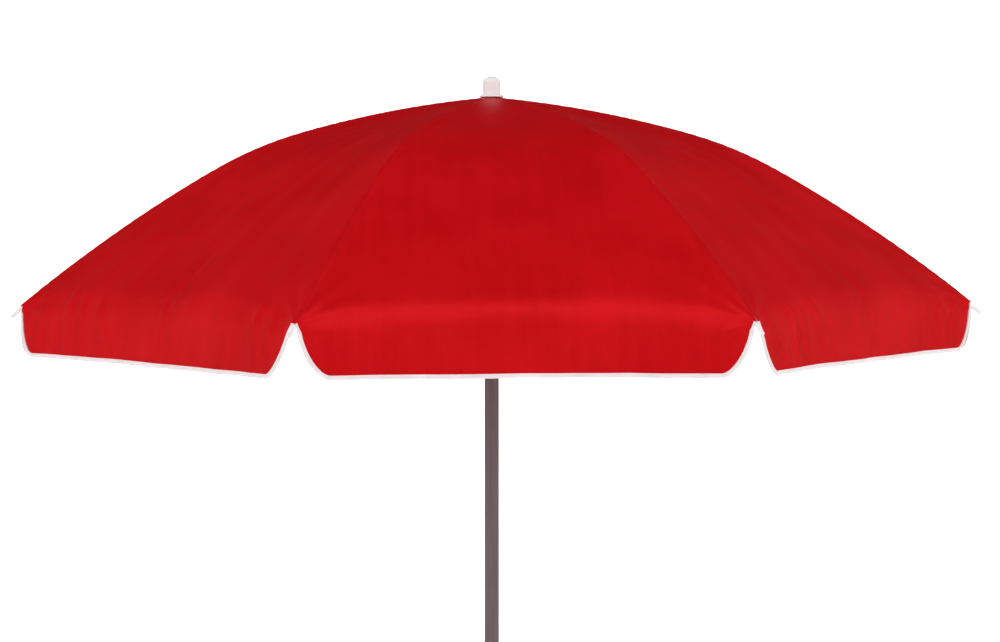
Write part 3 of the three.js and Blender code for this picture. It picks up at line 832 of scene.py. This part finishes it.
for number in range(1, RIB_COUNT + 1):
    rod = make_mesh(f"rib_rod_{number}", on_rib([
        swept(rod_path, RIB_RADIUS, 14),
        wire_ring(EYE_MAJOR, EYE_MINOR, HUB_PIVOT, "y", 28, 10),
        strap(tab_top, RIVET, 3 * MM, TAB_THICKNESS),
    ], number))
    finish_piece(close_up(rod), ZINC_STEEL, None, [f"rib_{number}"])
    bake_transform(rod)
    sleeve = make_mesh(f"rib_sleeve_{number}", on_rib([
        lying(turned(sleeve_profile, 28), tip_middle, tip_heading)], number))
    finish_piece(close_up(sleeve), MILKY_PLASTIC, f"rib_tip_{number}", [f"rib_tip_{number}"])

# %% [markdown]
# A stretcher holds its rib up from the runner. Its outer end is crimped into a fork of two cheeks that
# straddle the rib's tab, and its inner end is an eye on the runner's wire ring.

# %% Make the stretchers
to_runner = RUNNER_PIVOT - RIVET
STRETCHER_LENGTH = float(np.linalg.norm(to_runner))
to_runner = to_runner / STRETCHER_LENGTH
CHEEK, CHEEK_GAP = 1.2 * MM, 0.3 * MM
cheek_place = TAB_THICKNESS / 2 + CHEEK_GAP + CHEEK / 2


def along_stretcher(distance):
    return RIVET + np.asarray(distance, float)[..., None] * to_runner


crimp = np.array([6, 8, 11, 14, 17, 19]) * MM
crimp_radius = np.array([2.55, 2.6, 2.55, 2.4, 2.3, 2.0]) * MM
for number in range(1, RIB_COUNT + 1):
    arm = make_mesh(f"stretcher_rod_{number}", on_rib([
        swept(along_stretcher(np.linspace(10 * MM, STRETCHER_LENGTH - EYE_MAJOR, 12)), RIB_RADIUS * 0.95, 14),
        swept(along_stretcher(crimp), crimp_radius, 16),
        strap(RIVET, along_stretcher(8.5 * MM), 3 * MM, CHEEK, cheek_place),
        strap(RIVET, along_stretcher(8.5 * MM), 3 * MM, CHEEK, -cheek_place),
        wire_ring(EYE_MAJOR, EYE_MINOR, RUNNER_PIVOT, "y", 28, 10),
        rivet_pin(RIVET, 2 * (cheek_place + CHEEK / 2), 1.2 * MM, 2.1 * MM),
    ], number))
    finish_piece(close_up(arm), ZINC_STEEL, f"stretcher_{number}", [f"stretcher_{number}"])
print("stretcher length", round(STRETCHER_LENGTH, 4))

# %% [markdown]
# ## Hub and runner
# Both are turned bodies with eight notches, one for each eye, and a steel wire ring threads all eight eyes.
# One grid makes such a body: each row is a ring, and a row in the notched stretch takes the notched outline.

# %% Notched rings
def ring_row(rim, height, floor=None, notch=4.8 * MM, arc_steps=8):
    """One row of points round the pole: a circle, or a circle with eight notches down to a floor radius. The
    columns match from row to row."""
    edge = math.asin(notch / 2 / max(rim, 20 * MM))
    row = []
    for number in range(RIB_COUNT):
        middle = (2 * number + 1) * HALF_GORE
        for step in np.linspace(-1, 1, 5):
            if floor is None or abs(step) == 1:
                angle = middle + edge * step
                row.append((rim * math.cos(angle), rim * math.sin(angle), height))
            else:
                y = notch / 2 * np.sign(step)
                cos, sin = math.cos(middle), math.sin(middle)
                row.append((floor * cos - y * sin, floor * sin + y * cos, height))
        for angle in np.linspace(middle + edge, middle + 2 * HALF_GORE - edge, arc_steps + 2)[1:-1]:
            row.append((rim * math.cos(angle), rim * math.sin(angle), height))
    return row


# %% Make the hub and its ring
hub_low, hub_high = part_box("top_hub")
HUB_OUTER = HUB_RIM * math.cos(HALF_GORE) - 0.4 * MM
HUB_BORE = POLE_RADIUS + 0.15 * MM
hub_floor = HUB_PIVOT[0] - 3.2 * MM
hub = make_mesh("hub_body", [surface([
    ring_row(HUB_BORE, hub_low.z), ring_row(HUB_OUTER - 1 * MM, hub_low.z, hub_floor),
    ring_row(HUB_OUTER, hub_low.z + 1 * MM, hub_floor), ring_row(HUB_OUTER, hub_high.z - 0.8 * MM, hub_floor),
    ring_row(HUB_OUTER - 0.8 * MM, hub_high.z, hub_floor), ring_row(HUB_BORE, hub_high.z),
], wrap=True, loop=True)])
finish_piece(close_up(hub), MILKY_PLASTIC, "upper_pole", ["top_hub"])
hub_wire = make_mesh("hub_wire", [wire_ring(HUB_PIVOT[0], WIRE_RADIUS, (0, 0, HUB_PIVOT[2]))])
finish_piece(close_up(hub_wire), ZINC_STEEL, "upper_pole", ["hub_ring"])

# %% Make the runner and its ring
runner_low, runner_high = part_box("runner")
RUNNER_BORE, SLEEVE, GRIP, FLANGE = POLE_RADIUS + 0.4 * MM, 16 * MM, 18.5 * MM, runner_high.y
shelf = 2 * RUNNER_PIVOT[2] - runner_high.z
runner_floor = RUNNER_PIVOT[0] - 3.3 * MM
ridge_heights = np.linspace(runner_low.z + 15 * MM, shelf - 8 * MM, 41)
ridges = SLEEVE - 0.5 * MM * np.sin(np.linspace(0, 5 * np.pi, 41)) ** 8
runner_rows = [ring_row(RUNNER_BORE, runner_low.z), ring_row(GRIP - 1 * MM, runner_low.z)]
runner_rows += [ring_row(GRIP, runner_low.z + 1 * MM), ring_row(GRIP, runner_low.z + 9.2 * MM)]
runner_rows += [ring_row(GRIP - 0.8 * MM, runner_low.z + 10.4 * MM), ring_row(SLEEVE, runner_low.z + 13 * MM)]
runner_rows += [ring_row(radius, height) for radius, height in zip(ridges, ridge_heights)]
runner_rows += [ring_row(SLEEVE, shelf - 6 * MM), ring_row(20.4 * MM, shelf - 3.1 * MM)]
runner_rows += [ring_row(20.5 * MM, shelf - 3 * MM, runner_floor)]
runner_rows += [ring_row(FLANGE - 0.6 * MM, shelf, runner_floor)]
runner_rows += [ring_row(FLANGE, shelf + 0.8 * MM, runner_floor)]
runner_rows += [ring_row(FLANGE, runner_high.z - 1 * MM, runner_floor)]
runner_rows += [ring_row(FLANGE - 1 * MM, runner_high.z, runner_floor), ring_row(RUNNER_BORE, runner_high.z)]
runner = close_up(make_mesh("runner_body", [surface(runner_rows, wrap=True, loop=True)]))
TOOTH_SLOT = 4.8 * MM
tooth_slot = block("tooth_slot", (-TOOTH_SLOT / 2, 9 * MM, runner_low.z + 4 * MM),
                   (TOOTH_SLOT / 2, 19 * MM, runner_high.z + 1 * MM))
combine(runner, tooth_slot, "DIFFERENCE")
finish_piece(runner, MILKY_PLASTIC, "runner", ["runner"])
runner_wire = make_mesh("runner_wire", [wire_ring(RUNNER_PIVOT[0], WIRE_RADIUS, (0, 0, RUNNER_PIVOT[2]))])
finish_piece(close_up(runner_wire), ZINC_STEEL, "runner", ["runner_ring"])

# %% [markdown]
# ## Crown
# A small eight-sided disc of the same cloth covers the inner ends of the gores, and the finial clamps it to
# the hub. The finial is a hollow milky dome with a low flange.

# %% Make the crown disc and the finial
def crown_row(radius, lift, steps=12):
    """One eight-sided ring of the crown disc: a straight side over each gore, at the cloth's height."""
    row = []
    for number in range(RIB_COUNT):
        for beside in np.linspace(-HALF_GORE, HALF_GORE, steps, endpoint=False):
            angle = 2 * HALF_GORE * (number + 1) + beside
            distance = radius * math.cos(HALF_GORE) / math.cos(beside)
            row.append((distance * math.cos(angle), distance * math.sin(angle),
                        float(cloth_height(radius / TIP_RADIUS)) + lift))
    return row


disc_radii = np.linspace(14 * MM, HUB_RIM + 1.2 * MM, 5)
crown = make_mesh("crown_disc", [surface(
    [crown_row(radius, 0.25 * MM) for radius in disc_radii] +
    [crown_row(radius, 0.75 * MM) for radius in disc_radii[::-1]], wrap=True, loop=True)])
finish_piece(close_up(crown), RED_CLOTH, "upper_pole", ["crown_patch"])

finial_low, finial_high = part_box("finial")
FINIAL_BASE = CROWN_Z - 0.6 * MM
FLANGE_RADIUS, BODY_RADIUS = float(finial_high.x), 15 * MM
SHOULDER = FINIAL_BASE + 25 * MM
dome_turn = np.linspace(0, np.pi / 2, 24)
dome = np.stack([BODY_RADIUS * np.cos(dome_turn) ** 0.8,
                 SHOULDER + (finial_high.z - SHOULDER) * np.sin(dome_turn) ** 0.8], -1)
PLUG_RADIUS = POLE_RADIUS - 1.3 * MM
foot = rounded([(0, finial_low.z), (PLUG_RADIUS, finial_low.z), (PLUG_RADIUS, FINIAL_BASE + 0.5 * MM),
                (FLANGE_RADIUS, FINIAL_BASE + 0.5 * MM), (FLANGE_RADIUS, FINIAL_BASE + 3.2 * MM),
                (BODY_RADIUS + 3 * MM, FINIAL_BASE + 4.8 * MM), (BODY_RADIUS, FINIAL_BASE + 6.5 * MM),
                (BODY_RADIUS, SHOULDER)], 1.4 * MM, 6)
finial = make_mesh("finial_dome", [turned(np.concatenate([foot[:-1], dome]), 72)])
finish_piece(close_up(finial), MILKY_PLASTIC, "upper_pole", ["finial"])

# %% [markdown]
# ## Poles, catch, clamp and spike
# The poles are plain tube with rolled ends. The upper one has a slot for the catch. The clamp's collar is
# moulded in one with the boss that guides its screw, and the screw's thread is a true helix: the radius is a
# wave of height plus angle.

# %% Make the poles
def tube_piece(name, node, outer, wall):
    low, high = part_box(node)
    edge = 0.35 * MM
    profile = [(outer - wall, low.z + edge), (outer - edge, low.z), (outer, low.z + edge)]
    profile += [(outer, height) for height in np.linspace(low.z + 2 * edge, high.z - 2 * edge, 24)]
    profile += [(outer, high.z - edge), (outer - edge, high.z), (outer - wall, high.z - edge)]
    return close_up(make_mesh(name, [turned(profile, 72, loop=True)]))


LOWER_RADIUS = float(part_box("lower_pole")[1].x)
POLE_WALL = 1 * MM
tooth_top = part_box("catch")[1].z
pole = tube_piece("upper_pole_tube", "upper_pole", POLE_RADIUS, POLE_WALL)
catch_slot = block("catch_slot", (-2.1 * MM, POLE_RADIUS - 3 * MM, tooth_top - 22 * MM),
                   (2.1 * MM, POLE_RADIUS + 3 * MM, tooth_top + 4 * MM))
combine(pole, catch_slot, "DIFFERENCE")
finish_piece(pole, POWDER_COAT, "upper_pole", ["upper_pole"])
finish_piece(tube_piece("lower_pole_tube", "lower_pole", LOWER_RADIUS, POLE_WALL), POWDER_COAT,
             "lower_pole", ["lower_pole"])

# %% Make the collar
collar_low, collar_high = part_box("pole_collar")
COLLAR_RADIUS, CLAMP_Z = -float(collar_low.x), float(JOINTS["clamp_screw_turn"]["pos_m"][2])
step_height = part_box("lower_pole")[1].z + 0.3 * MM
LOWER_BORE, UPPER_BORE = LOWER_RADIUS + 0.15 * MM, POLE_RADIUS + 0.3 * MM
outside = rounded([(LOWER_BORE, collar_low.z), (COLLAR_RADIUS - 2 * MM, collar_low.z),
                   (COLLAR_RADIUS, collar_low.z + 3 * MM), (COLLAR_RADIUS, collar_high.z - 5 * MM),
                   (COLLAR_RADIUS - 4 * MM, collar_high.z), (UPPER_BORE, collar_high.z)], 1.5 * MM)
inside = [(UPPER_BORE, step_height), (LOWER_BORE, step_height)]
collar = close_up(make_mesh("collar_body", [turned(np.concatenate([outside, inside]), 72, loop=True)]))
BOSS_RADIUS, BOSS_START = 10 * MM, 16 * MM
boss_end = float(collar_high.x)
BOSS_HOLE = 3.6 * MM
boss = rounded([(0, BOSS_START), (BOSS_RADIUS, BOSS_START), (BOSS_RADIUS, boss_end), (BOSS_HOLE, boss_end)],
               1.2 * MM)
boss_profile = np.concatenate([boss, [(BOSS_HOLE, boss_end - 8 * MM), (0, boss_end - 8 * MM)]])
boss_piece = close_up(make_mesh("boss", [lying(turned(boss_profile, 40), (0, 0, CLAMP_Z), (1, 0, 0))]))
combine(collar, boss_piece, "UNION")
finish_piece(collar, BLACK_PLASTIC, "lower_pole", ["pole_collar"])

# %% Make the clamp screw and its knob
stud_low, stud_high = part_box("clamp_stud")
STUD_RADIUS, THREAD_PITCH = 3 * MM, 1 * MM
stud_length = stud_high.x - stud_low.x
height = np.linspace(0, stud_length, 220)[:, None]
angle = np.arange(28)[None, :] * 2 * np.pi / 28
ridge = np.abs(((height / THREAD_PITCH + angle / (2 * np.pi)) % 1) - 0.5) * 2
thread_radius = (STUD_RADIUS - 0.5 * MM * ridge) * np.minimum(1, 0.75 + 0.25 * np.minimum(
    height, stud_length - height) / (0.8 * MM))
screw = surface(np.stack([stud_low.x + height + 0 * angle, thread_radius * np.cos(angle),
                          CLAMP_Z + thread_radius * np.sin(angle)], -1), wrap=True, caps=True)
finish_piece(close_up(make_mesh("clamp_screw_thread", [screw]), 60), ZINC_STEEL, "clamp_screw",
             ["clamp_stud"])

knob_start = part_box("clamp_knob")[0].x
lobe_angle = np.arange(100) * 2 * np.pi / 100
lobes = 19 * MM + 3 * MM * np.cos(5 * lobe_angle)
knob_rows = []
# depth along the screw and inset from the lobes, in millimetres
for depth, inset in ((0, 12), (0, 2.0), (0.5, 0.6), (1.8, 0), (10.5, 0), (12.6, 0.7), (13.7, 2.2), (14, 4.5),
                     (13.4, 8), (13.2, 12), (13.2, 17)):
    radius = np.maximum(lobes - inset * MM, 0.1 * MM) * (1 if inset < 15 else 0.2)
    knob_rows.append(np.stack([knob_start + depth * MM + 0 * radius, radius * np.cos(lobe_angle),
                               CLAMP_Z + radius * np.sin(lobe_angle)], -1))
knob = close_up(make_mesh("knob_grip", [surface(knob_rows, wrap=True, caps=True)]))
finish_piece(knob, BLACK_PLASTIC, "clamp_screw", ["clamp_knob"])

# %% Make the ground spike
spike_low, spike_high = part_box("ground_spike")
SHOULDER_Z = float(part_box("lower_pole")[0].z) - 0.3 * MM
SHANK_RADIUS = LOWER_RADIUS - 1.3 * MM
spike_foot = rounded([(0, spike_low.z), (2.2 * MM, spike_low.z + 0.8 * MM),
                      (LOWER_RADIUS, SHOULDER_Z - 13.7 * MM), (LOWER_RADIUS, SHOULDER_Z),
                      (SHANK_RADIUS, SHOULDER_Z), (SHANK_RADIUS, spike_high.z - 3 * MM),
                      (LOWER_RADIUS - 4 * MM, spike_high.z), (0, spike_high.z)], 1.6 * MM)
spike = make_mesh("spike_body", [turned(spike_foot, 56)])
finish_piece(close_up(spike), BLACK_PLASTIC, "lower_pole", ["ground_spike"])

# %% CAD pieces that keep their shape
for node, material in (("catch", ZINC_STEEL), ("clamp_nut", ZINC_STEEL), ("pole_plug", BLACK_PLASTIC)):
    frame["nodes"][node].data.materials.clear()
    frame["nodes"][node].data.materials.append(material)

# %% [markdown]
# ## Studio
# The pale floor is round and curves up into a white wall on every side, so that the umbrella can be looked at
# from anywhere. The light is large and soft: a key from high in front, a narrow box on each side that draws
# out the ripples, and even light from the white room, which glows most behind the umbrella.

# %% Room, lights and camera
bend = np.linspace(0, np.pi / 2, 24)
FLOOR_EDGE, WALL_CURVE, WALL_TOP = 9, 3, 9
room_line = [(0.01, 0), (4, 0)]
room_line += [(FLOOR_EDGE + WALL_CURVE * math.sin(turn), WALL_CURVE * (1 - math.cos(turn))) for turn in bend]
room_line += [(FLOOR_EDGE + WALL_CURVE, WALL_TOP)]
room = make_mesh("studio_room", [turned(room_line, 96)])
paper = Finish("white_paper", Roughness=0.9, Specular_IOR_Level=0.0)
away = paper.node("VectorMath", {"operation": "LENGTH"}, {0: paper.place()}, output=1)
behind = paper.node("SeparateXYZ", None, {0: paper.place()}, output=1)
glow = paper.between(away, 2.5, 5.0) * (0.25 + 0.75 * paper.between(behind, -3.0, 3.0))
paper.feed("Emission Strength", 0.10 + 0.84 * glow)
paper.shader.inputs["Base Color"].default_value = (0.88, 0.88, 0.88, 1)
paper.shader.inputs["Emission Color"].default_value = (1, 1, 1, 1)
room.data.materials.append(paper.material)
room.visible_glossy = False  # the satin cloth mirrors only the soft boxes

scene = bpy.context.scene
world = bpy.data.worlds.new("studio")
scene.world = world
world.use_nodes = True
world.node_tree.nodes["Background"].inputs["Color"].default_value = (1, 1, 1, 1)
world.node_tree.nodes["Background"].inputs["Strength"].default_value = 0.06
world.cycles_visibility.glossy = False
scene.view_settings.view_transform = "Standard"
scene.view_settings.look = "None"


def aimed(thing, place, target):
    thing.location = place
    thing.rotation_euler = (Vector(target) - Vector(place)).to_track_quat("-Z", "Y").to_euler()
    scene.collection.objects.link(thing)
    return thing


def softbox(name, place, target, width, height, power):
    light = bpy.data.lights.new(name, "AREA")
    light.shape, light.size, light.size_y, light.energy = "RECTANGLE", width, height, power
    return aimed(bpy.data.objects.new(name, light), place, target)


CANOPY_MIDDLE = (0, 0, 1.80)
softbox("key", (0.3, -3.5, 6.2), CANOPY_MIDDLE, 4.6, 3.4, 148)
softbox("left_side", (-5.2, -2.2, 2.4), CANOPY_MIDDLE, 1.2, 2.4, 32)
softbox("right_side", (5.2, -2.2, 2.4), CANOPY_MIDDLE, 1.2, 2.4, 32)

VIEW_TURN = math.radians(3.66)
VIEW_DISTANCE, VIEW_HEIGHT = 3.187, 1.852
VIEW_PITCH, VIEW_YAW = math.radians(3.75), math.radians(0.26)
camera_data = bpy.data.cameras.new("photo_view")
camera_data.lens, camera_data.sensor_width = 66.1, 36.0
camera = bpy.data.objects.new("photo_view", camera_data)
camera.location = (-VIEW_DISTANCE * math.sin(VIEW_TURN), -VIEW_DISTANCE * math.cos(VIEW_TURN), VIEW_HEIGHT)
camera.rotation_euler = (math.pi / 2 - VIEW_PITCH, 0, -VIEW_TURN - VIEW_YAW)
scene.collection.objects.link(camera)
scene.camera = camera
